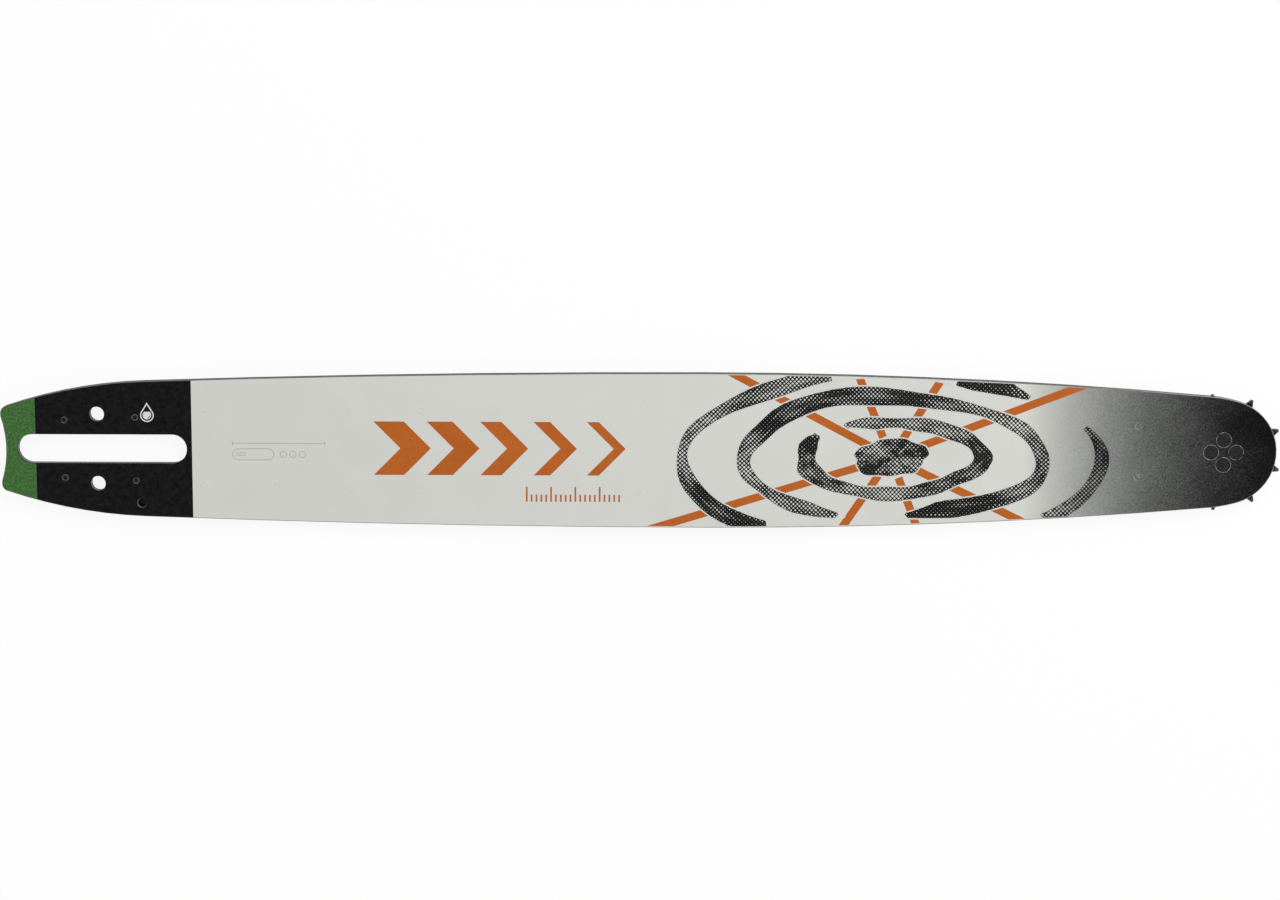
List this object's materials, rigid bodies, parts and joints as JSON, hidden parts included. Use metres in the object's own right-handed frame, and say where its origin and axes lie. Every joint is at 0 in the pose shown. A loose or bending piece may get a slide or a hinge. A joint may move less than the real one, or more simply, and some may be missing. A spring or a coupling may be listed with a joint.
{
  "type": "chainsaw guide bar",
  "caption": "Laminated chainsaw guide bar with a chain groove round its edge, a slotted tail that slides on the saw's studs, and a toothed sprocket on needle rollers in its nose.",
  "frame": {"origin": "middle of the stud slot, on the rear face", "axes": "+X from the tail to the nose, +Y across the bar, +Z out of the front face"},
  "size_m": [0.5255, 0.064, 0.0047],
  "materials": {
    "side_plate_finish": "satin",
    "core_steel": "oiled",
    "core_filler": "matte",
    "sprocket_steel": "hardened",
    "bearing_steel": "ground",
    "rivet_steel": "satin"
  },
  "bodies": {
    "bar": {"bearing_inner_race": "bearing_steel", "core_filler_1": "core_filler", "core_filler_2": "core_filler", "core_filler_3": "core_filler", "core_plate": "core_steel", "front_side_plate": "side_plate_finish", "nose_rivets": "rivet_steel", "rear_side_plate": "side_plate_finish"},
    "sprocket": {"nose_sprocket": "sprocket_steel"},
    "roller_ring": {"bearing_roller_01": "bearing_steel", "bearing_roller_02": "bearing_steel", "bearing_roller_03": "bearing_steel", "bearing_roller_04": "bearing_steel", "bearing_roller_05": "bearing_steel", "bearing_roller_06": "bearing_steel", "bearing_roller_07": "bearing_steel", "bearing_roller_08": "bearing_steel", "bearing_roller_09": "bearing_steel", "bearing_roller_10": "bearing_steel", "bearing_roller_11": "bearing_steel", "bearing_roller_12": "bearing_steel", "bearing_roller_13": "bearing_steel", "bearing_roller_14": "bearing_steel", "bearing_roller_15": "bearing_steel", "bearing_roller_16": "bearing_steel", "bearing_roller_17": "bearing_steel", "bearing_roller_18": "bearing_steel", "bearing_roller_19": "bearing_steel", "bearing_roller_20": "bearing_steel", "bearing_roller_21": "bearing_steel"}
  },
  "joints": [
    {"name": "sprocket_spin", "type": "hinge", "parent": "bar", "child": "sprocket", "pos_m": [0.4606, 0, 0.00235], "axis": [0, 0, 1], "continuous": true},
    {"name": "roller_orbit", "type": "hinge", "parent": "bar", "child": "roller_ring", "pos_m": [0.4606, 0, 0.00235], "axis": [0, 0, 1], "continuous": true}
  ],
  "couplings": [
    {"joint": "roller_orbit", "follows": "sprocket_spin", "ratio": 0.57396}
  ]
}
